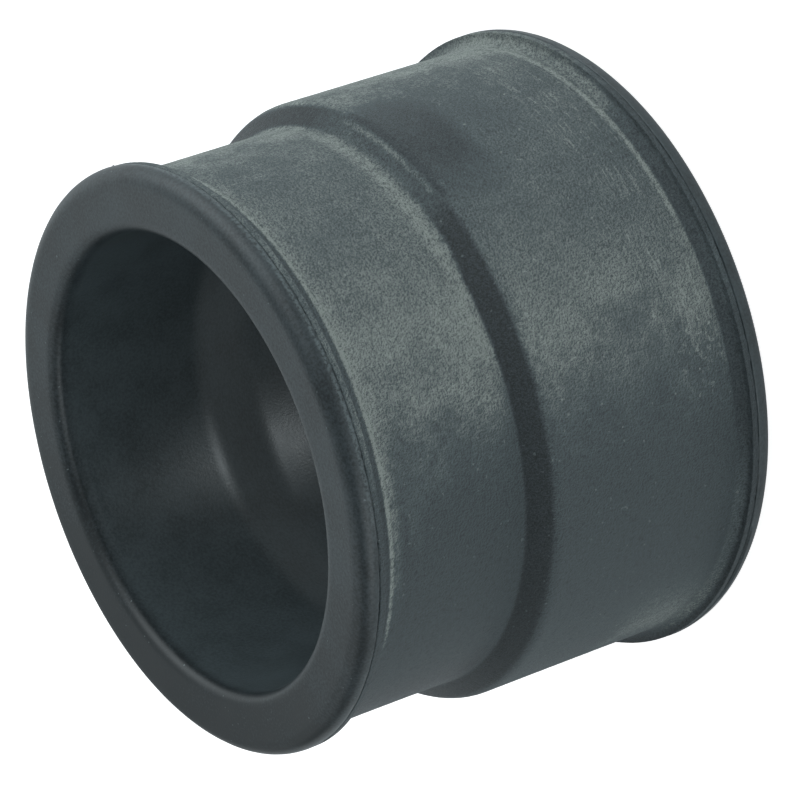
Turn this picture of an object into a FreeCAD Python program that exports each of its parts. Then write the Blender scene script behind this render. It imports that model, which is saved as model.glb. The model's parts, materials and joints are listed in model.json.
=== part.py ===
import FreeCAD, Part
import math
import os

# Moulded rubber reducing coupling: a short stepped sleeve that joins two pipes of different sizes.
# Millimetres. The bore axis is Z. The sleeve stands on its large end, z = 0, and its small end is up.
# It is built as such a hose is: a rubber tube, a textile ply around it, and a rubber cover outside.

# Driving dimensions: the bores, and the outside of each end
SMALL_BORE_D = 50.0
LARGE_BORE_D = 55.0
SMALL_BODY_D = 61.3
LARGE_BODY_D = 66.2
SMALL_RIM_D = 64.0
LARGE_RIM_D = 69.0
TOTAL_LENGTH = 51.3
SMALL_END_LENGTH = 21.3    # small end face to the start of the shoulder
SHOULDER_LENGTH = 2.4      # the cone between the two outside diameters
STEP_LENGTH = 7.0          # the gentler cone between the two bores, level with the shoulder

# Rims: a rounded outer edge from the end face to the mould's parting line, a land, then a hollow
SMALL_RIM_ROUND = 2.1
LARGE_RIM_ROUND = 2.4
RIM_LAND = 0.8
RIM_HOLLOW_LENGTH = 1.25
MOUTH_ROUND = 1.3          # edge between an end face and its bore

# Rounds on the shoulder and on the step between the bores
SHOULDER_FOOT_ROUND = 0.8
SHOULDER_CREST_ROUND = 1.8
STEP_ROUND = 8.0

# Layers of the wall
TUBE_WALL = 2.5
PLY_WALL = 1.0
PLY_END_COVER = 2.0        # rubber left beyond each end of the ply, measured from the parting line

# Places that follow from them
SMALL_BORE_R = SMALL_BORE_D / 2
LARGE_BORE_R = LARGE_BORE_D / 2
SMALL_BODY_R = SMALL_BODY_D / 2
LARGE_BODY_R = LARGE_BODY_D / 2
SMALL_RIM_R = SMALL_RIM_D / 2
LARGE_RIM_R = LARGE_RIM_D / 2
SMALL_TUBE_R = SMALL_BORE_R + TUBE_WALL
LARGE_TUBE_R = LARGE_BORE_R + TUBE_WALL
SMALL_PLY_R = SMALL_TUBE_R + PLY_WALL
LARGE_PLY_R = LARGE_TUBE_R + PLY_WALL
SHOULDER_TOP = TOTAL_LENGTH - SMALL_END_LENGTH
SHOULDER_BOTTOM = SHOULDER_TOP - SHOULDER_LENGTH
STEP_TOP = (SHOULDER_TOP + SHOULDER_BOTTOM + STEP_LENGTH) / 2
STEP_BOTTOM = STEP_TOP - STEP_LENGTH
SMALL_PARTING = TOTAL_LENGTH - SMALL_RIM_ROUND
LARGE_PARTING = LARGE_RIM_ROUND
PLY_TOP = SMALL_PARTING - PLY_END_COVER
PLY_BOTTOM = LARGE_PARTING + PLY_END_COVER


def round_corner(before, corner, after, radius):
    """Return the start, middle and end of the arc that rounds a corner of an outline."""
    to_before = (before - corner).normalize()
    to_after = (after - corner).normalize()
    half = to_before.getAngle(to_after) / 2
    reach = radius / math.tan(half)
    middle_way = (to_before + to_after).normalize()
    middle = corner + middle_way * (radius / math.sin(half) - radius)
    return corner + to_before * reach, middle, corner + to_after * reach


def revolve(outline):
    """Turn a closed outline about the Z axis into a solid.

    The outline is a list of (radius, height, corner round), and a round of 0 is a sharp corner.
    """
    points = [FreeCAD.Vector(radius, 0, height) for radius, height, _ in outline]
    edges = []
    stretches = []
    for index, (_, _, corner_round) in enumerate(outline):
        corner = points[index]
        if corner_round:
            after = points[(index + 1) % len(points)]
            start, middle, end = round_corner(points[index - 1], corner, after, corner_round)
            stretches.append((start, end))
            edges.append(Part.Arc(start, middle, end).toShape())
        else:
            stretches.append((corner, corner))
    for index, (start, _) in enumerate(stretches):
        leaving = stretches[index - 1][1]
        if leaving.distanceToPoint(start) > 1e-6:
            edges.append(Part.makeLine(leaving, start))
    wire = Part.Wire(Part.sortEdges(edges)[0])
    solid = Part.Face(wire).revolve(FreeCAD.Vector(0, 0, 0), FreeCAD.Vector(0, 0, 1), 360)
    return solid


def inner_tube():
    """The smooth rubber tube: both bores, both end faces and the rounded edges up to the parting lines."""
    return revolve([
        (SMALL_BORE_R, STEP_TOP, STEP_ROUND),
        (SMALL_BORE_R, TOTAL_LENGTH, MOUTH_ROUND),
        (SMALL_RIM_R, TOTAL_LENGTH, SMALL_RIM_ROUND),
        (SMALL_RIM_R, SMALL_PARTING, 0),
        (SMALL_TUBE_R, SMALL_PARTING, 0),
        (SMALL_TUBE_R, SHOULDER_TOP, 0),
        (LARGE_TUBE_R, SHOULDER_BOTTOM, 0),
        (LARGE_TUBE_R, LARGE_PARTING, 0),
        (LARGE_RIM_R, LARGE_PARTING, 0),
        (LARGE_RIM_R, 0, LARGE_RIM_ROUND),
        (LARGE_BORE_R, 0, MOUTH_ROUND),
        (LARGE_BORE_R, STEP_BOTTOM, STEP_ROUND),
    ])


def reinforcing_ply():
    """The textile layer wrapped around the tube, with rubber over both of its ends."""
    return revolve([
        (SMALL_TUBE_R, PLY_TOP, 0),
        (SMALL_PLY_R, PLY_TOP, 0),
        (SMALL_PLY_R, SHOULDER_TOP, 0),
        (LARGE_PLY_R, SHOULDER_BOTTOM, 0),
        (LARGE_PLY_R, PLY_BOTTOM, 0),
        (LARGE_TUBE_R, PLY_BOTTOM, 0),
        (LARGE_TUBE_R, SHOULDER_BOTTOM, 0),
        (SMALL_TUBE_R, SHOULDER_TOP, 0),
    ])


def outer_cover():
    """The rough rubber cover between the parting lines: rim lands, hollows, bodies and the shoulder."""
    small_land_end = SMALL_PARTING - RIM_LAND
    large_land_end = LARGE_PARTING + RIM_LAND
    return revolve([
        (SMALL_RIM_R, SMALL_PARTING, 0),
        (SMALL_RIM_R, small_land_end, 0),
        (SMALL_BODY_R, small_land_end, RIM_HOLLOW_LENGTH),
        (SMALL_BODY_R, SHOULDER_TOP, SHOULDER_FOOT_ROUND),
        (LARGE_BODY_R, SHOULDER_BOTTOM, SHOULDER_CREST_ROUND),
        (LARGE_BODY_R, large_land_end, RIM_HOLLOW_LENGTH),
        (LARGE_RIM_R, large_land_end, 0),
        (LARGE_RIM_R, LARGE_PARTING, 0),
        (LARGE_TUBE_R, LARGE_PARTING, 0),
        (LARGE_TUBE_R, PLY_BOTTOM, 0),
        (LARGE_PLY_R, PLY_BOTTOM, 0),
        (LARGE_PLY_R, SHOULDER_BOTTOM, 0),
        (SMALL_PLY_R, SHOULDER_TOP, 0),
        (SMALL_PLY_R, PLY_TOP, 0),
        (SMALL_TUBE_R, PLY_TOP, 0),
        (SMALL_TUBE_R, SMALL_PARTING, 0),
    ])


def write_parts():
    """Write one STEP file per piece, named after the piece."""
    os.makedirs("parts", exist_ok=True)
    for piece in (inner_tube, reinforcing_ply, outer_cover):
        solid = piece()
        if not solid.isValid() or solid.ShapeType != "Solid":
            raise ValueError(f"{piece.__name__} is not one valid solid")
        solid.exportStep(f"parts/{piece.__name__}.step")
        print(piece.__name__, round(solid.Volume), "cubic mm")


write_parts()
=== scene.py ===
"""Looks of a moulded rubber reducing coupling, laid out as a Blender add-on.

The frame holds the sleeve's sizes. This file gives it its finish: the smooth core-side rubber, the
grained and powdered outside, the parting lines with their flash, and the stage. Blender units are
metres, so every size below is a number of millimetres times MM.
"""

import json
import math

import bpy
import bmesh
from bpy.props import FloatProperty, FloatVectorProperty, IntProperty, PointerProperty
from mathutils import Matrix, Vector, noise


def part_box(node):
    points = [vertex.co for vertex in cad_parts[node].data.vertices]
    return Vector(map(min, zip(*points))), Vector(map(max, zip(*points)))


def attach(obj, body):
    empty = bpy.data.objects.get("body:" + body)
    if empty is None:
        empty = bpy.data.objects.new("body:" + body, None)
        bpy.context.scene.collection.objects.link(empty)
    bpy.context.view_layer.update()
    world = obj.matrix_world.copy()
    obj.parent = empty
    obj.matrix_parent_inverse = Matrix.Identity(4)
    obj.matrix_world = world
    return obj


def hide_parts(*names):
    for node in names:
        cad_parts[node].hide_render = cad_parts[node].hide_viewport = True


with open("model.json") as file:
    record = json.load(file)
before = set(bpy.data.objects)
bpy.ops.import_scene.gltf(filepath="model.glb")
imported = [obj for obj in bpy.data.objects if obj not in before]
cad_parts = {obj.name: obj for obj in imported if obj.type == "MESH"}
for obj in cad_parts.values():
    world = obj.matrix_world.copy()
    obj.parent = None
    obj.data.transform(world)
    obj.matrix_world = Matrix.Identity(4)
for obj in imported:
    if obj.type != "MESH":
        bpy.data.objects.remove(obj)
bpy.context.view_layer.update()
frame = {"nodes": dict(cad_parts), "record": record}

bl_info = {
    "name": "Rubber reducing coupling",
    "version": (1, 0, 0),
    "blender": (4, 5, 0),
    "location": "View3D > Sidebar > Coupling",
    "description": "Builds the visible rubber pieces of a stepped pipe sleeve and its studio",
    "category": "Object",
}

MM = 0.001
MOUNTS = {mount["name"]: mount for mount in frame["record"]["mounts"]}
TUBE_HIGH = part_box("inner_tube")[1]
COVER_LOW, COVER_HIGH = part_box("outer_cover")
PLY_LOW, PLY_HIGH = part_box("reinforcing_ply")


def mount_radius(name):
    """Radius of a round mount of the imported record, in metres."""
    return MOUNTS[name]["dims"]["r_mm"] * MM


def linear(hex_colour):
    """Linear red, green and blue of an sRGB hex colour."""
    channels = [int(hex_colour[index:index + 2], 16) / 255 for index in (0, 2, 4)]
    return [c / 12.92 if c <= 0.04045 else ((c + 0.055) / 1.055) ** 2.4 for c in channels]


# ---------------------------------------------------------------------------------------------
# What a user can change


class SleeveShape(bpy.types.PropertyGroup):
    """Sizes of the moulding that the frame's boxes and mounts don't give."""

    small_rim_radius: FloatProperty(
        name="Small rim radius", description="Outside of the small end's rim",
        default=32.0 * MM, unit="LENGTH", precision=5)
    shoulder_height: FloatProperty(
        name="Shoulder height", description="Where the small end meets the shoulder, from the large end face",
        default=30.0 * MM, unit="LENGTH", precision=5)
    shoulder_length: FloatProperty(
        name="Shoulder length", description="Length of the outside cone between the two diameters",
        default=2.4 * MM, unit="LENGTH", precision=5)
    shoulder_foot_round: FloatProperty(
        name="Shoulder foot round", description="Hollow round where the shoulder leaves the small end",
        default=0.8 * MM, unit="LENGTH", precision=5)
    shoulder_crest_round: FloatProperty(
        name="Shoulder crest round", description="Round where the shoulder meets the large end",
        default=1.8 * MM, unit="LENGTH", precision=5)
    step_length: FloatProperty(
        name="Step length", description="Length of the cone between the two bores",
        default=7.0 * MM, unit="LENGTH", precision=5)
    step_round: FloatProperty(
        name="Step round", description="Rounds at both ends of that cone",
        default=8.0 * MM, unit="LENGTH", precision=5)
    mouth_round: FloatProperty(
        name="Mouth round", description="Round between an end face and its bore",
        default=1.3 * MM, unit="LENGTH", precision=5)
    rim_land: FloatProperty(
        name="Rim land", description="Flat outside of a rim, between the parting line and the hollow",
        default=0.8 * MM, unit="LENGTH", precision=5)
    rim_hollow: FloatProperty(
        name="Rim hollow", description="Radius of the hollow behind a rim",
        default=1.25 * MM, unit="LENGTH", precision=5)
    tube_wall: FloatProperty(
        name="Tube wall", description="Thickness of the inner tube",
        default=2.5 * MM, unit="LENGTH", precision=5)
    seam_round: FloatProperty(
        name="Seam round", description="Round of the two edges that meet at a parting line",
        default=0.2 * MM, unit="LENGTH", precision=6)
    core_line_depth: FloatProperty(
        name="Core line depth",
        description="End face to the line that the core's end ring leaves in the bore",
        default=2.7 * MM, unit="LENGTH", precision=5)
    core_line_step: FloatProperty(
        name="Core line step", description="Height of that line's tiny step",
        default=0.02 * MM, unit="LENGTH", precision=6)
    core_line_fade: FloatProperty(
        name="Core line fade", description="Length over which the step runs out into the bore",
        default=0.3 * MM, unit="LENGTH", precision=6)
    mesh_pitch: FloatProperty(
        name="Mesh pitch", description="Longest edge of the visible surfaces",
        default=0.42 * MM, unit="LENGTH", precision=6)
    steps_around: IntProperty(
        name="Steps around", description="Divisions of a full turn", default=600, min=24)


class SleeveFinish(bpy.types.PropertyGroup):
    """Colours and coverage of the rubber and of the release powder on it."""

    rubber: FloatVectorProperty(
        name="Rubber", description="Colour of the bare black rubber",
        default=linear("383f42"), subtype="COLOR", size=3)
    thin_powder: FloatVectorProperty(
        name="Thin powder", description="Colour of a thin film of release powder",
        default=linear("8a9698"), subtype="COLOR", size=3)
    thick_powder: FloatVectorProperty(
        name="Thick powder", description="Colour of release powder that has gathered",
        default=linear("9fa5a0"), subtype="COLOR", size=3)
    powder_direction: FloatProperty(
        name="Powdered side", description="Polar angle of the middle of the powdered side",
        default=math.radians(-29.0), subtype="ANGLE")
    powder_half_width: FloatProperty(
        name="Powdered half width", description="Angle from the middle of the powdered side to its edge",
        default=math.radians(69.0), subtype="ANGLE")


# ---------------------------------------------------------------------------------------------
# Outlines and turned meshes


def arc_points(before, corner, after, radius, pitch):
    """Points of the arc that rounds a corner, from the side of before to the side of after."""
    to_before = (before - corner).normalized()
    to_after = (after - corner).normalized()
    half = to_before.angle(to_after) / 2
    centre = corner + (to_before + to_after).normalized() * (radius / math.sin(half))
    start = corner + to_before * (radius / math.tan(half)) - centre
    end = corner + to_after * (radius / math.tan(half)) - centre
    turn = start.angle_signed(end)
    count = max(3, math.ceil(abs(turn) * radius / pitch), math.ceil(abs(turn) / math.radians(12)))
    points = []
    for index in range(count + 1):
        angle = turn * index / count
        points.append(centre + Matrix.Rotation(-angle, 2) @ start)
    return points


def trace(outline, pitch):
    """Points along an open outline of (radius, height, round), no further apart than the pitch."""
    corners = [Vector((radius, height)) for radius, height, _ in outline]
    points = []
    for index, (_, _, corner_round) in enumerate(outline):
        corner = corners[index]
        if corner_round:
            stretch = arc_points(corners[index - 1], corner, corners[index + 1], corner_round, pitch)
        else:
            stretch = [corner]
        if points:
            gap = (stretch[0] - points[-1]).length
            count = math.ceil(gap / pitch - 1e-6)
            start = points[-1]
            for step in range(1, count):
                points.append(start.lerp(stretch[0], step / count))
            if gap < 1e-9:
                points.pop()
        points.extend(stretch)
    return points


def turned_mesh(name, skin, core, relief, steps_around):
    """A closed ring turned about Z from a fine visible skin and a plain hidden core.

    relief gives how far each skin point stands proud, from its place and its distance from the
    skin's nearer end.
    """
    outline = skin + core
    count = len(outline)
    area = sum(a.cross(b) for a, b in zip(outline, outline[1:] + outline[:1]))
    side = 1.0 if area > 0 else -1.0
    normals = []
    for index in range(count):
        along = (outline[(index + 1) % count] - outline[index - 1]).normalized()
        normals.append(Vector((along.y, -along.x)) * side)
    run = [0.0]
    for a, b in zip(skin, skin[1:]):
        run.append(run[-1] + (b - a).length)
    verts = []
    for step in range(steps_around):
        angle = math.tau * step / steps_around
        ahead = Vector((math.cos(angle), math.sin(angle)))
        for index, point in enumerate(outline):
            if index < len(skin):
                place = Vector((ahead.x * point.x, ahead.y * point.x, point.y))
                lift = relief(place, min(run[index], run[-1] - run[index]))
                point = point + normals[index] * lift
            verts.append((ahead.x * point.x, ahead.y * point.x, point.y))
    faces = []
    for step in range(steps_around):
        here = step * count
        there = (step + 1) % steps_around * count
        for index in range(count):
            after = (index + 1) % count
            face = (here + index, there + index, there + after, here + after)
            faces.append(face if side > 0 else face[::-1])
    mesh = bpy.data.meshes.new(name)
    mesh.from_pydata(verts, [], faces)
    mesh.shade_smooth()
    mesh.validate()
    return mesh


def place_piece(name, mesh, material):
    """Link a mesh as a piece that rides on the sleeve's only body."""
    mesh.materials.append(material)
    piece = bpy.data.objects.new(name, mesh)
    bpy.context.scene.collection.objects.link(piece)
    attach(piece, "root")
    return piece


# Wear of the edge at a parting line: how far it reaches, its lumps as (size, depth), and its least
# depth, all in millimetres
WEAR_REACH = 0.35
WEAR_LUMPS = ((0.9, 0.07), (4.0, 0.06))
WEAR_LEAST = 0.02

# Unevenness of a moulded surface: its lumps, how far it is sunk so that no lump leaves the moulding's
# size, and the distance from a parting line over which it starts
TUBE_SURFACE = (((14.0, 0.018), (3.0, 0.004)), 0.022, 0.5)
COVER_SURFACE = (((12.0, 0.025), (0.9, 0.010), (0.5, 0.010)), 0.046, 0.3)


def swell(place, lumps):
    """Smooth noise in millimetres, the sum of lumps of several sizes."""
    return sum(noise.noise(place / (size * MM)) * height for size, height in lumps)


def seam_wear(place, to_seam):
    """How far a parting line's edge is nibbled away, which makes the line ragged."""
    reach = WEAR_REACH * MM
    if to_seam > reach:
        return 0.0
    bite = max(0.0, swell(place, WEAR_LUMPS) + WEAR_LEAST)
    return bite * MM * (1 - to_seam / reach)


def moulded_relief(surface):
    """The relief of a skin whose two ends are parting lines."""
    lumps, sunk, start = surface

    def relief(place, to_seam):
        drift = (swell(place, lumps) - sunk) * MM
        return drift * min(1, to_seam / (start * MM)) - seam_wear(place, to_seam)

    return relief


# ---------------------------------------------------------------------------------------------
# Nodes and patterns


# A map range that eases from one end to the other and holds beyond them. Its inputs are the value,
# the range it comes from, and the range it goes to.
EASED = {"interpolation_type": "SMOOTHSTEP"}


def shade(colour, factor):
    """A colour made lighter or darker, with its alpha."""
    return (*[channel * factor for channel in colour], 1)


def per_metre(millimetres):
    """Scale of a texture in object space whose features are this size."""
    return 1 / (millimetres * MM)


def add(tree, kind, inputs=(), **settings):
    """Add a shader node, set it up, and fill its inputs.

    The inputs are a dictionary by name, or a tuple in the order of the sockets. Each one is a value,
    a socket, or a node, which stands for its first output.
    """
    node = tree.nodes.new("ShaderNode" + kind)
    for name, value in settings.items():
        setattr(node, name, value)
    for key, value in inputs.items() if isinstance(inputs, dict) else enumerate(inputs):
        if isinstance(value, bpy.types.Node):
            value = next(output for output in value.outputs if output.enabled)
        if isinstance(value, bpy.types.NodeSocket):
            tree.links.new(value, node.inputs[key])
        else:
            node.inputs[key].default_value = value
    return node


def new_material(name):
    """An empty node material, its tree and its output node."""
    material = bpy.data.materials.new(name)
    material.use_nodes = True
    tree = material.node_tree
    tree.nodes.clear()
    return material, tree, add(tree, "OutputMaterial")


def height_and_turn(tree, coords):
    """Height in millimetres, and direction around the bore's axis in degrees."""
    split = add(tree, "SeparateXYZ", (coords,))
    height = add(tree, "Math", (split.outputs["Z"], MM), operation="DIVIDE")
    angle = add(tree, "Math", (split.outputs["Y"], split.outputs["X"]), operation="ARCTAN2")
    return height, add(tree, "Math", (angle, 0.0), operation="DEGREES")


def band(tree, value, middle, half_width, softness):
    """1 near a middle value, falling smoothly to 0 around a half width away."""
    gap = add(tree, "Math", (value, middle), operation="SUBTRACT")
    off = add(tree, "Math", (gap, 0.0), operation="ABSOLUTE")
    edge = (off, half_width - softness, half_width + softness, 1.0, 0.0)
    return add(tree, "MapRange", edge, **EASED)


def patch(tree, height, turn, place):
    """How much of one patch of powder lies at a height and a direction around the axis."""
    level, level_half, level_soft, middle, half_width, softness, amount = place
    across = band(tree, height, level, level_half, level_soft)
    along = band(tree, turn, middle, half_width, softness)
    shape = add(tree, "Math", (across, along), operation="MULTIPLY")
    return add(tree, "Math", (shape, amount), operation="MULTIPLY")


# ---------------------------------------------------------------------------------------------
# Smooth rubber


RUBBER_IOR = 1.5
FACE_REACH = 30 * MM                        # distance over which the end face changes from side to side
# directions across the end face along which its painted shade changes
BRIGHT_SIDE = Vector((0.87, -0.5, 0)) / FACE_REACH
FAR_SIDE = Vector((0, 1, 0)) / FACE_REACH
BORE_BAND = (25.65, 24.0, 0.8)              # middle, half length and soft end of the bores, in mm
# share of the even pale tint over the bore, which is painted light
BORE_PAINTED_LIGHT = 0.08

# Where powder lies: height of the middle, half width and softness of the edge in millimetres, then
# polar angle of the middle, half width and softness in degrees, and how much powder
CREPT = (49.55, 0.22, 0.18, -62, 46, 12, 0.30)


def smooth_rubber(finish):
    """Carbon-black EPDM moulded against a polished core.

    To the eye: charcoal with a faint blue-green cast, an even semi-matt sheen that lifts at
    grazing angles, and a very fine orange-peel grain. Two sides of the end face carry painted shade
    and are less glossy there, and the bore has an even pale tint that is painted light.
    """
    material, tree, output = new_material("EPDM rubber, moulded on a polished core")
    coords = add(tree, "TexCoord").outputs["Object"]
    height, turn = height_and_turn(tree, coords)
    grain = add(tree, "TexNoise", {
        "Vector": coords, "Scale": per_metre(0.3), "Detail": 3.0, "Roughness": 0.65,
    })
    cloud = add(tree, "TexNoise", {"Vector": coords, "Scale": per_metre(5.0), "Detail": 3.0})

    # Painted shade: the end face and its rounds are painted dim on two sides, which are also made less glossy
    # below
    across = add(tree, "VectorMath", (coords, BRIGHT_SIDE), operation="DOT_PRODUCT")
    behind = add(tree, "VectorMath", (coords, FAR_SIDE), operation="DOT_PRODUCT")
    side_shade_and_dull = add(tree, "MapRange", (across, -1.0, 0.2, 0.6, 0.0), **EASED)
    back_shade_and_dull = add(tree, "MapRange", (behind, -0.3, 0.6, 0.0, 0.22), **EASED)
    painted_shade_and_dull = add(tree, "Math", (side_shade_and_dull, back_shade_and_dull), operation="ADD")
    near_face = add(tree, "MapRange", (height, 49.0, 51.0, 0.0, 1.0), **EASED)
    painted_shade_and_dull = add(tree, "Math", (painted_shade_and_dull, near_face), operation="MULTIPLY")

    clouded = add(tree, "MapRange", (cloud, 0.3, 0.7, 0.35, 0.8), **EASED)
    grained = add(tree, "MapRange", (grain, 0.25, 0.75, -0.5, 0.5), **EASED)
    # painted shade on two sides of the end face is taken off the tone here
    tone = add(tree, "Math", (clouded, painted_shade_and_dull), operation="SUBTRACT")
    tone = add(tree, "Math", (tone, grained), operation="ADD")
    colour = add(tree, "Mix", {
        "Factor": tone, "A": shade(finish.rubber, 0.4), "B": shade(finish.rubber, 1.2),
    }, data_type="RGBA")

    # Pale specks lie on the outside. In the bore an even pale tint takes their place, painted light that
    # brightens the bore
    bore = band(tree, height, *BORE_BAND)
    dots = add(tree, "TexNoise", {"Vector": coords, "Scale": per_metre(0.4), "Detail": 0.0})
    speck = add(tree, "MapRange", (dots, 0.83, 0.86, 0.0, 0.4), **EASED)
    specks_and_bore_light = add(tree, "Mix", {"Factor": bore, "A": speck, "B": BORE_PAINTED_LIGHT})

    # A little powder has crept over the parting line onto the rim's round
    held = add(tree, "MapRange", (grain, 0.35, 0.6, 0.0, 1.0), **EASED)
    crept = add(tree, "Math", (patch(tree, height, turn, CREPT), held), operation="MULTIPLY")
    pale = add(tree, "Math", (specks_and_bore_light, crept), operation="ADD")
    # this mix holds the specks, the crept powder and the bore's painted light
    dusted = add(tree, "Mix", {
        "Factor": pale, "A": colour, "B": (*finish.thin_powder, 1),
    }, data_type="RGBA")

    # The bore is a little glossier than the rest, and the flat face is less glossy on the two sides with
    # painted shade
    gloss = add(tree, "MapRange", (cloud, 0.3, 0.7, 0.38, 0.42), **EASED)
    polish = add(tree, "Math", (bore, -0.08), operation="MULTIPLY")
    gloss = add(tree, "Math", (gloss, polish), operation="ADD")
    face = add(tree, "MapRange", (height, 51.0, 51.25, 0.0, 0.26), **EASED)
    rubbed = add(tree, "Math", (painted_shade_and_dull, face), operation="MULTIPLY")
    gloss = add(tree, "Math", (gloss, rubbed), operation="ADD")

    bump = add(tree, "Bump", {"Height": grain, "Strength": 0.5, "Distance": 0.03 * MM})
    shader = add(tree, "BsdfPrincipled", {
        "Base Color": dusted, "Roughness": gloss, "Normal": bump, "IOR": RUBBER_IOR,
    })
    tree.links.new(shader.outputs["BSDF"], output.inputs["Surface"])
    return material


# ---------------------------------------------------------------------------------------------
# Powdered rubber


# The tables below are in the order of CREPT
HAZE = (
    (39.0, 8.4, 1.0, -76, 32, 14, 0.07),      # small end, the front of the powdered side
    (39.0, 8.4, 1.0, -84, 14, 18, 0.17),      # small end, the band where the dusting stopped
    (14.0, 13.0, 1.0, -88, 13, 18, 0.12),     # large end, the same band
    (22.0, 24.5, 1.0, 6, 34, 14, 0.14),       # both ends, the thickest side
    (14.0, 13.0, 1.0, -165, 16, 12, 0.08),    # large end, a faint trace low on the far side
    (24.5, 4.0, 1.6, -42, 14, 8, -0.27),      # large end, a wiped patch below the shoulder
    (33.5, 3.0, 2.5, -72, 30, 12, 0.05),      # small end, near the shoulder
    (25.0, 22.5, 1.0, -9, 7, 6, 0.28),        # both ends, the edge of the thickest side
    (25.0, 22.5, 1.0, -84, 6, 7, 0.10),       # both ends, where the dusting stopped
    (9.0, 5.0, 3.0, -163, 10, 8, 0.24),       # large end, low on the far side
    (39.0, 8.4, 1.0, -166, 8, 6, -0.10),      # small end, wiped bare
    (15.0, 13.5, 1.0, -128, 28, 10, 0.03),    # large end, a trace on the bare side
    (17.0, 4.5, 3.0, -36, 12, 8, -0.08),      # large end, thinner round the wiped patch
    (40.0, 5.0, 3.0, 118, 22, 18, 0.05),      # small end, a faint trace on the back
    (12.0, 6.0, 4.0, 74, 26, 20, 0.08),       # large end, the same
)
# powder lines in the corners, and a painted highlight along the edge of the large rim's hollow
GATHERED_AND_HIGHLIGHT = (
    (46.78, 0.16, 0.22, -80, 60, 9, 0.62),    # a crisp line under the small rim
    (46.2, 0.5, 1.0, -77, 48, 14, 0.22),      # and its soft edge
    (46.75, 0.25, 0.25, -114, 18, 12, 0.28),  # thicker low on the small end
    (46.3, 0.5, 0.5, -112, 13, 8, 0.20),      # and spread further there
    (48.65, 0.3, 0.3, -90, 12, 10, 0.14),     # on the small rim's land
    (43.6, 0.7, 0.7, -115, 4, 4, 0.15),       # a smudge low on the small end
    (30.6, 0.5, 1.1, -48, 27, 10, 0.56),      # above the shoulder
    (28.4, 0.2, 0.2, -42, 14, 8, 0.48),       # on the shoulder's crest
    (27.7, 0.25, 0.2, -42, 14, 8, -0.30),     # and the bare line below it
    (30.7, 0.5, 1.1, -82, 12, 10, 0.18),      # thinner towards the front
    (26.2, 1.0, 1.2, -90, 12, 10, 0.12),      # below the shoulder
    (46.7, 0.2, 0.3, 100, 55, 20, 0.14),      # thinner lines on the back, under the small rim
    # the next two lines are painted highlights along the edge of the large rim's hollow, faint on the back
    # and strong on the powdered side
    (4.75, 0.25, 0.3, 120, 45, 20, 0.16),     # and above the large one
    (4.75, 0.28, 0.25, -45, 30, 8, 0.56),     # edge of the hollow above the large rim
    (6.2, 1.7, 1.2, -96, 5, 5, 0.20),         # under the flecks near the large rim
    (2.7, 0.5, 0.3, -86, 5, 3, 0.45),         # on the large rim's land
    (3.4, 0.8, 0.3, -35, 14, 8, 0.18),        # in the large rim's hollow, on the powdered side
    (3.2, 1.0, 0.3, -150, 30, 15, 0.12),      # and on the far side
)
# Where scuffs show pale and where flecks lie, both near the large rim
SCUFFED = (8.0, 4.0, 1.0, -60, 40, 8, 0.5)
FLECKED = (7.0, 2.6, 1.6, -97, 9, 7, 0.32)
FILM = 0.10                                 # powder that no wiping takes off, all over the cover
POWDERED_SIDE = 0.20                        # powder over the whole powdered side
SIDE_SOFTNESS = 20                          # degrees over which that side fades at its edges

GRAIN = {"Scale": per_metre(0.25), "Detail": 3.0, "Roughness": 0.75}
GRAIN_SHIFT = Vector((0.06, -0.03, 0.07)) * MM
# the value this range maps holds the grain plus painted light and shade on each grain's sides
GRAIN_AND_LIGHT_RANGE = (0.0, 0.9)                         # range over which the grain goes from bare to full


def cover_grain(tree, coords):
    """Height of the blasted grain, and that height with painted light and shade on the sides of each grain,
    which sets how much powder each part holds and the bare rubber's tone.
    """
    relief = add(tree, "TexNoise", {"Vector": coords, **GRAIN})
    pocks = add(tree, "TexNoise", {
        "Vector": coords, "Scale": per_metre(0.5), "Detail": 2.0, "Roughness": 0.7,
    })
    pits = add(tree, "MapRange", (pocks, 0.55, 0.70, 0.0, 0.25), **EASED)
    grain = add(tree, "Math", (relief, pits), operation="SUBTRACT")
    # Painted light and shade: one side of each grain is made paler and the other side dimmer, from the
    # grain's slope along a fixed direction
    beside = add(tree, "VectorMath", (coords, GRAIN_SHIFT), operation="ADD")
    shifted = add(tree, "TexNoise", {"Vector": beside, **GRAIN})
    rise = add(tree, "Math", (relief, shifted), operation="SUBTRACT")
    # painted light and shade: the slope across the grain makes one side paler and the other side dimmer
    painted_grain_light = add(tree, "Math", (rise, 1.8), operation="MULTIPLY")
    return grain, add(tree, "Math", (grain, painted_grain_light), operation="ADD")


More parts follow.
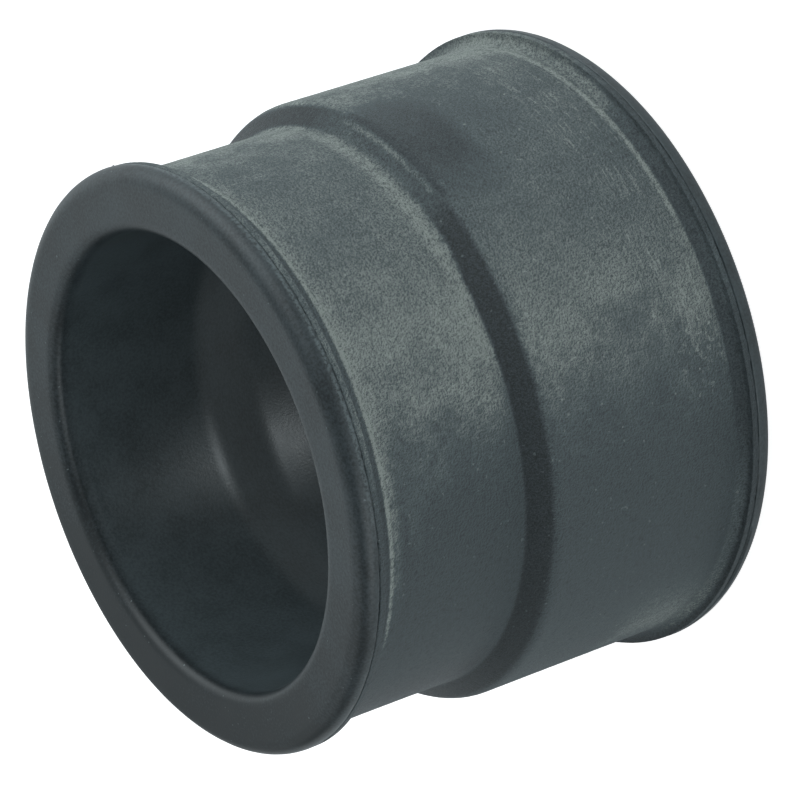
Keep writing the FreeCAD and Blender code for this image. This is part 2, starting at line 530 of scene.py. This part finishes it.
def powder_and_highlight(tree, finish, coords, height, turn, patches, clumps):
    """How much powder has settled, with a painted highlight along the edge of the large rim's hollow, before
    the places that it can't reach.
    """
    # A thin bloom over the powdered side
    middle = math.degrees(finish.powder_direction)
    side = band(tree, turn, middle, math.degrees(finish.powder_half_width), SIDE_SOFTNESS)
    haze = add(tree, "Math", (side, POWDERED_SIDE), operation="MULTIPLY")
    for place in HAZE:
        haze = add(tree, "Math", (haze, patch(tree, height, turn, place)), operation="ADD")
    uneven = add(tree, "MapRange", (patches, 0.25, 0.75, 0.72, 1.3), **EASED)
    clotted = add(tree, "MapRange", (clumps, 0.3, 0.7, 0.88, 1.12), **EASED)
    mottle = add(tree, "Math", (uneven, clotted), operation="MULTIPLY")
    total = add(tree, "Math", (haze, mottle), operation="MULTIPLY")
    total = add(tree, "Math", (total, FILM), operation="ADD")

    # Powder collected along the corners of the moulding, and a painted highlight along the edge of the large
    # rim's hollow
    loose = add(tree, "MapRange", (clumps, 0.3, 0.65, 0.5, 1.2), **EASED)
    for place in GATHERED_AND_HIGHLIGHT:
        line = patch(tree, height, turn, place)
        corner_line = add(tree, "Math", (line, loose), operation="MULTIPLY")
        total = add(tree, "Math", (total, corner_line), operation="ADD")

    # Light scuffs that run around the large end
    stretched = add(tree, "VectorMath", (coords, (1, 1, 9)), operation="MULTIPLY")
    streaks = add(tree, "TexNoise", {"Vector": stretched, "Scale": per_metre(3.5), "Detail": 2.0})
    scuffs = add(tree, "MapRange", (streaks, 0.55, 0.75, 0.0, 0.5), **EASED)
    scuffed = patch(tree, height, turn, SCUFFED)
    scuffed = add(tree, "Math", (scuffs, scuffed), operation="MULTIPLY")
    total = add(tree, "Math", (total, scuffed), operation="ADD")

    # Loose flecks of powder near the large rim
    crumbs = add(tree, "TexNoise", {"Vector": coords, "Scale": per_metre(0.8), "Detail": 1.0})
    flecks = add(tree, "MapRange", (crumbs, 0.60, 0.68, 0.0, 1.0), **EASED)
    flecked = patch(tree, height, turn, FLECKED)
    flecked = add(tree, "Math", (flecks, flecked), operation="MULTIPLY")
    return add(tree, "Math", (total, flecked), operation="ADD")


def shoulder_shelter_and_shade(tree, height, turn):
    """How far the shoulder's cone is out of the dusting's reach; the same share paints shade on the cone's
    bare rubber.
    """
    drift = add(tree, "MapRange", (turn, -78.0, -64.0, 0.0, 0.35), **EASED)
    drifted = add(tree, "Math", (height, drift), operation="ADD")
    below_foot = add(tree, "MapRange", (drifted, 29.8, 30.2, 1.0, 0.0), **EASED)
    above_crest = add(tree, "MapRange", (height, 27.6, 28.2, 0.0, 1.0), **EASED)
    cone = add(tree, "Math", (below_foot, above_crest), operation="MULTIPLY")
    # On the powdered side the dusting reached most of it
    dusted = add(tree, "Math", (band(tree, turn, -42.0, 17.0, 8.0), 0.78), operation="MULTIPLY")
    missed = add(tree, "Math", (1.0, dusted), operation="SUBTRACT")
    return add(tree, "Math", (cone, missed), operation="MULTIPLY")


def rim_shade_and_bare_patches(tree, height, turn):
    """How much powder the large rim's hollow, its land and the corner under the small rim lose; in the hollow
    this is painted shade.
    """
    # painted shade: the hollow loses powder so that it looks dim, as shade
    hollow = add(tree, "Math", (band(tree, height, 3.75, 0.55, 0.2), 0.85), operation="MULTIPLY")
    front = band(tree, turn, -89.0, 32.0, 12.0)
    hollow = add(tree, "Math", (hollow, front), operation="MULTIPLY")
    land_bare_by_turn = add(tree, "MapRange", (turn, -60.0, -25.0, 0.8, 0.2), **EASED)
    land = band(tree, height, 2.8, 0.45, 0.1)
    land = add(tree, "Math", (land, land_bare_by_turn), operation="MULTIPLY")
    corner = band(tree, height, 47.55, 0.5, 0.15)
    corner = add(tree, "Math", (corner, 0.6), operation="MULTIPLY")
    return hollow, land, corner


def powdered_rubber(finish):
    """Carbon-black EPDM moulded in a blasted cavity, dusted with release powder.

    To the eye: a fine sand-like grain, with painted light and shade on the sides of each grain, under a
    patchy blue-grey dusting on one side of the sleeve, almost bare charcoal rubber on the other, and pale
    lines where the powder gathers in corners. Painted shade dims the shoulder's cone and the large
    rim's hollow, and a painted highlight runs along the edge of that hollow.
    """
    material, tree, output = new_material("EPDM rubber, blast-textured and powdered")
    coords = add(tree, "TexCoord").outputs["Object"]
    height, turn = height_and_turn(tree, coords)
    grain, grain_and_painted_light = cover_grain(tree, coords)
    clumps = add(tree, "TexNoise", {
        "Vector": coords, "Scale": per_metre(0.9), "Detail": 3.0, "Roughness": 0.6,
    })
    patches = add(tree, "TexNoise", {
        "Vector": coords, "Scale": per_metre(5.0), "Detail": 3.0, "Roughness": 0.55,
    })

    # The direction is made ragged, so that no edge of the powder is straight
    wander = add(tree, "MapRange", (patches, 0.3, 0.7, -2.5, 2.5), **EASED)
    flick = add(tree, "MapRange", (clumps, 0.3, 0.7, -2.0, 2.0), **EASED)
    ragged = add(tree, "Math", (wander, flick), operation="ADD")
    turn = add(tree, "Math", (turn, ragged), operation="ADD")

    total = powder_and_highlight(tree, finish, coords, height, turn, patches, clumps)
    cone = shoulder_shelter_and_shade(tree, height, turn)
    # these masks take powder off; in the large rim's hollow that is painted shade
    for shelter_and_shade in (cone, *rim_shade_and_bare_patches(tree, height, turn)):
        powder_kept = add(tree, "Math", (1.0, shelter_and_shade), operation="SUBTRACT")
        total = add(tree, "Math", (total, powder_kept), operation="MULTIPLY")

    # Bare rubber shows the grain, with its painted light and shade, as lighter and dimmer charcoal, and
    # painted shade dims it on the cone
    bare_grain_and_light = add(tree, "MapRange", (grain_and_painted_light, *GRAIN_AND_LIGHT_RANGE, 0.0, 1.0), **EASED)
    # painted shade on the shoulder's cone
    painted_cone_shade = add(tree, "Math", (cone, 0.28), operation="MULTIPLY")
    bare = add(tree, "Mix", {
        "Factor": add(tree, "Math", (bare_grain_and_light, painted_cone_shade), operation="SUBTRACT"),
        "A": shade(finish.rubber, 0.45), "B": shade(finish.rubber, 1.65),
    }, data_type="RGBA")

    # The grain, with its painted light and shade, holds the powder, and a few pale specks lie anywhere
    full = add(tree, "MapRange", (grain_and_painted_light, *GRAIN_AND_LIGHT_RANGE, 0.35, 1.7), **EASED)
    dots = add(tree, "TexNoise", {"Vector": coords, "Scale": per_metre(0.45), "Detail": 0.0})
    speck = add(tree, "MapRange", (dots, 0.80, 0.84, 0.0, 0.3), **EASED)
    amount = add(tree, "Math", (total, full), operation="MULTIPLY")
    amount = add(tree, "Math", (amount, speck), operation="ADD")
    powder = add(tree, "Mix", {
        "Factor": add(tree, "MapRange", (amount, 0.15, 0.7, 0.0, 1.0), **EASED),
        "A": (*finish.thin_powder, 1), "B": (*finish.thick_powder, 1),
    }, data_type="RGBA")
    colour = add(tree, "Mix", {"Factor": amount, "A": bare, "B": powder}, data_type="RGBA")

    gloss = add(tree, "MapRange", (amount, 0.0, 0.4, 0.46, 0.8), **EASED)
    bump = add(tree, "Bump", {"Height": grain, "Strength": 1.0, "Distance": 0.24 * MM})
    shader = add(tree, "BsdfPrincipled", {
        "Base Color": colour, "Roughness": gloss, "Normal": bump, "IOR": RUBBER_IOR,
    })
    tree.links.new(shader.outputs["BSDF"], output.inputs["Surface"])
    return material


# ---------------------------------------------------------------------------------------------
# Cord fabric


CORD_SPACING = 0.7 * MM


def cord_fabric():
    """Plain-woven polyester cord, dipped in rubber latex.

    To the eye: a buff open weave of round cords, darkened where rubber has soaked into it.
    """
    material, tree, output = new_material("polyester cord, plain woven and dipped")
    coords = add(tree, "TexCoord").outputs["Object"]
    split = add(tree, "SeparateXYZ", (coords,))
    angle = add(tree, "Math", (split.outputs["Y"], split.outputs["X"]), operation="ARCTAN2")
    around = add(tree, "Math", (angle, PLY_HIGH.x / CORD_SPACING), operation="MULTIPLY")
    along = add(tree, "Math", (split.outputs["Z"], 1 / CORD_SPACING), operation="MULTIPLY")
    warp = add(tree, "Math", (around, math.pi), operation="MULTIPLY")
    warp = add(tree, "Math", (warp, 0.0), operation="SINE")
    weft = add(tree, "Math", (along, math.pi), operation="MULTIPLY")
    weft = add(tree, "Math", (weft, 0.0), operation="SINE")
    weave = add(tree, "Math", (warp, weft), operation="MULTIPLY")
    cloud = add(tree, "TexNoise", {"Vector": coords, "Scale": per_metre(3.0), "Detail": 3.0})
    soak = add(tree, "MapRange", (cloud, 0.4, 0.7, 0.0, 1.0), **EASED)
    colour = add(tree, "Mix", {
        "Factor": soak, "A": (*linear("a89878"), 1), "B": (*linear("5d564a"), 1),
    }, data_type="RGBA")
    bump = add(tree, "Bump", {"Height": weave, "Strength": 0.8, "Distance": 0.15 * MM})
    shader = add(tree, "BsdfPrincipled", {
        "Base Color": colour, "Roughness": 0.85, "Normal": bump, "Sheen Weight": 0.2,
    })
    tree.links.new(shader.outputs["BSDF"], output.inputs["Surface"])
    return material


# ---------------------------------------------------------------------------------------------
# Pieces


SEAM_FILL = 0.98                            # share of its straight runs that a parting line's round takes
EDGE_ROUND = 0.12 * MM                      # round between a rim's land and the hollow behind it

# Flash: depth of its foot under the rim, half thickness and thickness behind the foot, and how far
# the middle of its skin stands out, in millimetres
FLASH_FOOT = 0.26
FLASH_HALF = 0.05
FLASH_BACK = 0.06
FLASH_NOSE = 0.01
FLASH_LUMPS = ((0.55, 0.8), (4.5, 0.6))     # how the fin is torn: size in mm and share of its height
FLASH_MIDDLE = 0.5                          # share of its height that is left on average
FLASH_LEAST = 0.05
FLASH_STEPS = 1800
SMALL_FLASH = 0.06                          # greatest height over the small rim, in mm
LARGE_FLASH = -0.02                         # the large rim is the widest line, so its flash is flush


class SLEEVE_OT_inner_tube(bpy.types.Operator):
    """Build the smooth tube: both bores, both end faces and the rims up to the parting lines"""

    bl_idname = "sleeve.inner_tube"
    bl_label = "Inner tube"

    def execute(self, context):
        shape = context.scene.sleeve_shape
        small, large = mount_radius("small_bore"), mount_radius("large_bore")
        top, rim = TUBE_HIGH.z, TUBE_HIGH.x
        upper_seam, lower_seam = COVER_HIGH.z, COVER_LOW.z
        middle = shape.shoulder_height - shape.shoulder_length / 2
        step_top = middle + shape.step_length / 2
        step_bottom = middle - shape.step_length / 2
        core_line = top - shape.core_line_depth
        inset = shape.seam_round
        skin = trace([
            (shape.small_rim_radius - inset, upper_seam, 0),
            (shape.small_rim_radius, upper_seam, inset * SEAM_FILL),
            (shape.small_rim_radius, top, top - upper_seam - inset),
            (small + shape.core_line_step, top, shape.mouth_round),
            (small + shape.core_line_step, core_line, 0),
            (small, core_line - shape.core_line_fade, 0),
            (small, step_top, shape.step_round),
            (large, step_bottom, shape.step_round),
            (large, 0, shape.mouth_round),
            (rim, 0, lower_seam - inset),
            (rim, lower_seam, inset * SEAM_FILL),
            (rim - inset, lower_seam, 0),
        ], shape.mesh_pitch)
        core = [
            Vector((large + shape.tube_wall, lower_seam)),
            Vector((large + shape.tube_wall, shape.shoulder_height - shape.shoulder_length)),
            Vector((small + shape.tube_wall, shape.shoulder_height)),
            Vector((small + shape.tube_wall, upper_seam)),
        ]
        relief = moulded_relief(TUBE_SURFACE)
        mesh = turned_mesh("smooth_inner_tube", skin, core, relief, shape.steps_around)
        material = smooth_rubber(context.scene.sleeve_finish)
        piece = place_piece("smooth_inner_tube", mesh, material)
        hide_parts("inner_tube")
        return {"FINISHED"}


class SLEEVE_OT_outer_cover(bpy.types.Operator):
    """Build the grained cover: rim lands, hollows, both bodies and the shoulder"""

    bl_idname = "sleeve.outer_cover"
    bl_label = "Outer cover"

    def execute(self, context):
        shape = context.scene.sleeve_shape
        small, large = mount_radius("small_clamp_seat"), mount_radius("large_clamp_seat")
        rim = COVER_HIGH.x
        upper_seam, lower_seam = COVER_HIGH.z, COVER_LOW.z
        upper_land, lower_land = upper_seam - shape.rim_land, lower_seam + shape.rim_land
        step_top = shape.shoulder_height
        step_bottom = shape.shoulder_height - shape.shoulder_length
        inset = shape.seam_round
        skin = trace([
            (shape.small_rim_radius - inset, upper_seam, 0),
            (shape.small_rim_radius, upper_seam, inset * SEAM_FILL),
            (shape.small_rim_radius, upper_land, EDGE_ROUND),
            (small, upper_land, shape.rim_hollow - EDGE_ROUND),
            (small, step_top, shape.shoulder_foot_round),
            (large, step_bottom, shape.shoulder_crest_round),
            (large, lower_land, shape.rim_hollow - EDGE_ROUND),
            (rim, lower_land, EDGE_ROUND),
            (rim, lower_seam, inset * SEAM_FILL),
            (rim - inset, lower_seam, 0),
        ], shape.mesh_pitch)
        ply = PLY_HIGH.x
        ply_wall = ply - mount_radius("large_bore") - shape.tube_wall
        small_tube = mount_radius("small_bore") + shape.tube_wall
        core = [
            Vector((ply - ply_wall, lower_seam)),
            Vector((ply - ply_wall, PLY_LOW.z)),
            Vector((ply, PLY_LOW.z)),
            Vector((ply, step_bottom)),
            Vector((small_tube + ply_wall, step_top)),
            Vector((small_tube + ply_wall, PLY_HIGH.z)),
            Vector((small_tube, PLY_HIGH.z)),
            Vector((small_tube, upper_seam)),
        ]
        relief = moulded_relief(COVER_SURFACE)
        mesh = turned_mesh("powdered_outer_cover", skin, core, relief, shape.steps_around)
        material = powdered_rubber(context.scene.sleeve_finish)
        piece = place_piece("powdered_outer_cover", mesh, material)
        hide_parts("outer_cover")
        return {"FINISHED"}


class SLEEVE_OT_parting_flash(bpy.types.Operator):
    """Build the thin torn flash that stands in both parting lines"""

    bl_idname = "sleeve.parting_flash"
    bl_label = "Parting flash"

    def execute(self, context):
        rim_radius = context.scene.sleeve_shape.small_rim_radius
        material = smooth_rubber(context.scene.sleeve_finish)
        self.stand("small_end_flash", rim_radius, COVER_HIGH.z, SMALL_FLASH, material)
        self.stand("large_end_flash", COVER_HIGH.x, COVER_LOW.z, LARGE_FLASH, material)
        return {"FINISHED"}

    def stand(self, name, rim_radius, seam, tallest, material):
        """One ragged fin around a rim; tallest is its greatest height over the rim in mm."""
        root = rim_radius - FLASH_FOOT * MM
        skin = [
            Vector((root, seam - FLASH_HALF * MM)),
            Vector((root + FLASH_NOSE * MM, seam)),
            Vector((root, seam + FLASH_HALF * MM)),
        ]
        core = [Vector((root - FLASH_BACK * MM, seam))]

        def relief(place, to_foot):
            if to_foot < FLASH_NOSE * MM:
                return 0.0
            torn = min(1.0, max(FLASH_LEAST, FLASH_MIDDLE + swell(place, FLASH_LUMPS)))
            return torn * (FLASH_FOOT - FLASH_NOSE + tallest) * MM

        mesh = turned_mesh(name, skin, core, relief, FLASH_STEPS)
        place_piece(name, mesh, material)


class SLEEVE_OT_reinforcing_ply(bpy.types.Operator):
    """Give the ply inside the wall its woven cord finish"""

    bl_idname = "sleeve.reinforcing_ply"
    bl_label = "Reinforcing ply"

    def execute(self, context):
        ply = frame["nodes"]["reinforcing_ply"]
        ply.data.materials.clear()
        ply.data.materials.append(cord_fabric())
        return {"FINISHED"}


# ---------------------------------------------------------------------------------------------
# Stage


VIEW_ELEVATION = math.radians(31.26)
VIEW_ROLL = math.radians(-108.95)
VIEW_DISTANCE = 552.7 * MM
VIEW_AIM = Vector((-0.76, 0, 23.8)) * MM
LENS = 233.2                                # millimetres, on the sensor below
SENSOR_WIDTH = 36                           # millimetres
NEAREST = 10 * MM
FURTHEST = 10                               # metres

# Soft round panels of the light tent: the direction of each one's middle, its brightness, and how
# quickly it falls off
PANELS = (
    ((-0.73, -0.68, 0.0), 2.6, 8),
    ((0.90, 0.23, 0.38), 2.0, 8),
    ((0.73, -0.31, 0.61), 1.7, 8),
    ((-0.44, 0.47, 0.77), 1.0, 8),
    ((0.23, 0.95, 0.20), 1.0, 8),
    ((0.10, -0.99, -0.05), 0.8, 16),
)
TENT_FILL = 0.03
BACKDROP_GLOW = 1.05
PANEL_COLOUR = (0.90, 0.99, 1.02, 1)
WHITE = (1, 1, 1, 1)

TABLE_SIZE = 3.0                            # metres
TABLE_GAP = 0.02 * MM                       # keeps the table's face clear of the sleeve's
TABLE_ACRYLIC = (0.6, 0.6, 0.6, 1)
TABLE_GLOW = 0.25
TABLE_SEEN = 0.67                           # how much brighter the table looks than it shines

BORE_PANEL_SIZE = (3 * MM, 6 * MM)
BORE_PANEL_PLACE = Vector((2, -16, 0.2)) * MM
BORE_PANEL_POWER = 0.0042                   # watts


def add_camera():
    """A long lens that looks down on the small end and lies on its side, as the sleeve does."""
    data = bpy.data.cameras.new("camera")
    data.lens = LENS
    data.sensor_width = SENSOR_WIDTH
    data.clip_start = NEAREST
    data.clip_end = FURTHEST
    camera = bpy.data.objects.new("camera", data)
    bpy.context.scene.collection.objects.link(camera)
    back = Vector((0, -math.cos(VIEW_ELEVATION), math.sin(VIEW_ELEVATION)))
    level = (-back).to_track_quat("-Z", "Y").to_matrix()
    turn = level @ Matrix.Rotation(VIEW_ROLL, 3, "Z")
    camera.matrix_world = Matrix.Translation(VIEW_AIM + back * VIEW_DISTANCE) @ turn.to_4x4()
    bpy.context.scene.camera = camera


def add_floor():
    """A back-lit acrylic table: pale and plain to the camera, and a weak light from below."""
    mesh = bpy.data.meshes.new("light_table")
    shape = bmesh.new()
    bmesh.ops.create_grid(shape, x_segments=1, y_segments=1, size=TABLE_SIZE)
    shape.to_mesh(mesh)
    shape.free()
    floor = bpy.data.objects.new("light_table", mesh)
    bpy.context.scene.collection.objects.link(floor)
    floor.location.z = -TABLE_GAP
    material, tree, output = new_material("opal acrylic, back-lit")
    camera_ray = add(tree, "LightPath").outputs["Is Camera Ray"]
    seen = (camera_ray, 0.0, 1.0, TABLE_GLOW, TABLE_GLOW + TABLE_SEEN)
    tint = {"Factor": camera_ray, "A": PANEL_COLOUR, "B": WHITE}
    shader = add(tree, "BsdfPrincipled", {
        "Base Color": TABLE_ACRYLIC, "Roughness": 0.6,
        "Emission Color": add(tree, "Mix", tint, data_type="RGBA"),
        "Emission Strength": add(tree, "MapRange", seen, **EASED),
    })
    tree.links.new(shader.outputs["BSDF"], output.inputs["Surface"])
    mesh.materials.append(material)


def add_tent():
    """A dark tent with soft round panels of light, in front of a plain white backdrop."""
    world = bpy.data.worlds.new("light tent")
    bpy.context.scene.world = world
    world.use_nodes = True
    tree = world.node_tree
    tree.nodes.clear()
    output = add(tree, "OutputWorld")
    towards = add(tree, "TexCoord").outputs["Generated"]
    total = TENT_FILL
    for direction, brightness, tightness in PANELS:
        middle = Vector(direction).normalized()
        facing = add(tree, "VectorMath", (towards, middle), operation="DOT_PRODUCT")
        near = add(tree, "Math", (facing, 0.0), operation="MAXIMUM")
        spot = add(tree, "Math", (near, tightness), operation="POWER")
        light = add(tree, "Math", (spot, brightness), operation="MULTIPLY")
        total = add(tree, "Math", (light, total), operation="ADD")
    tent = add(tree, "Background", {"Color": PANEL_COLOUR, "Strength": total})
    backdrop = add(tree, "Background", {"Color": WHITE, "Strength": BACKDROP_GLOW})
    camera_ray = add(tree, "LightPath").outputs["Is Camera Ray"]
    mix = add(tree, "MixShader", (camera_ray, tent, backdrop))
    tree.links.new(mix.outputs[0], output.inputs["Surface"])


def add_bore_light():
    """A small panel let into the table under the open large end, which shines up the bore."""
    data = bpy.data.lights.new("bore panel", "AREA")
    data.shape = "RECTANGLE"
    data.size, data.size_y = BORE_PANEL_SIZE
    data.color = PANEL_COLOUR[:3]
    data.energy = BORE_PANEL_POWER
    light = bpy.data.objects.new("bore panel", data)
    bpy.context.scene.collection.objects.link(light)
    light.location = BORE_PANEL_PLACE
    light.rotation_euler = (math.pi, 0, 0)
    light.visible_camera = False


class SLEEVE_OT_stage(bpy.types.Operator):
    """Set up the pale floor, the soft studio light and the camera"""

    bl_idname = "sleeve.stage"
    bl_label = "Stage"

    def execute(self, context):
        context.scene.view_settings.view_transform = "Standard"
        add_camera()
        add_floor()
        add_tent()
        add_bore_light()
        return {"FINISHED"}


# ---------------------------------------------------------------------------------------------
# Add-on


class SLEEVE_PT_panel(bpy.types.Panel):
    """The sidebar's list of pieces"""

    bl_idname = "SLEEVE_PT_panel"
    bl_label = "Rubber coupling"
    bl_space_type = "VIEW_3D"
    bl_region_type = "UI"
    bl_category = "Coupling"

    def draw(self, context):
        layout = self.layout
        for group in (context.scene.sleeve_shape, context.scene.sleeve_finish):
            box = layout.box()
            for name in group.__annotations__:
                box.prop(group, name)
        for operator in OPERATORS:
            layout.operator(operator.bl_idname)


OPERATORS = (
    SLEEVE_OT_inner_tube,
    SLEEVE_OT_outer_cover,
    SLEEVE_OT_parting_flash,
    SLEEVE_OT_reinforcing_ply,
    SLEEVE_OT_stage,
)
CLASSES = (SleeveShape, SleeveFinish, *OPERATORS, SLEEVE_PT_panel)


def register():
    """Register every class and the settings that a scene keeps."""
    for cls in CLASSES:
        bpy.utils.register_class(cls)
    bpy.types.Scene.sleeve_shape = PointerProperty(type=SleeveShape)
    bpy.types.Scene.sleeve_finish = PointerProperty(type=SleeveFinish)


def unregister():
    """Take the settings and the classes away again."""
    del bpy.types.Scene.sleeve_finish
    del bpy.types.Scene.sleeve_shape
    for cls in reversed(CLASSES):
        bpy.utils.unregister_class(cls)


def main():
    """Build the whole model."""
    register()
    bpy.ops.sleeve.stage()
    bpy.ops.sleeve.inner_tube()
    bpy.ops.sleeve.outer_cover()
    bpy.ops.sleeve.parting_flash()
    bpy.ops.sleeve.reinforcing_ply()


if __name__ == "__main__":
    main()
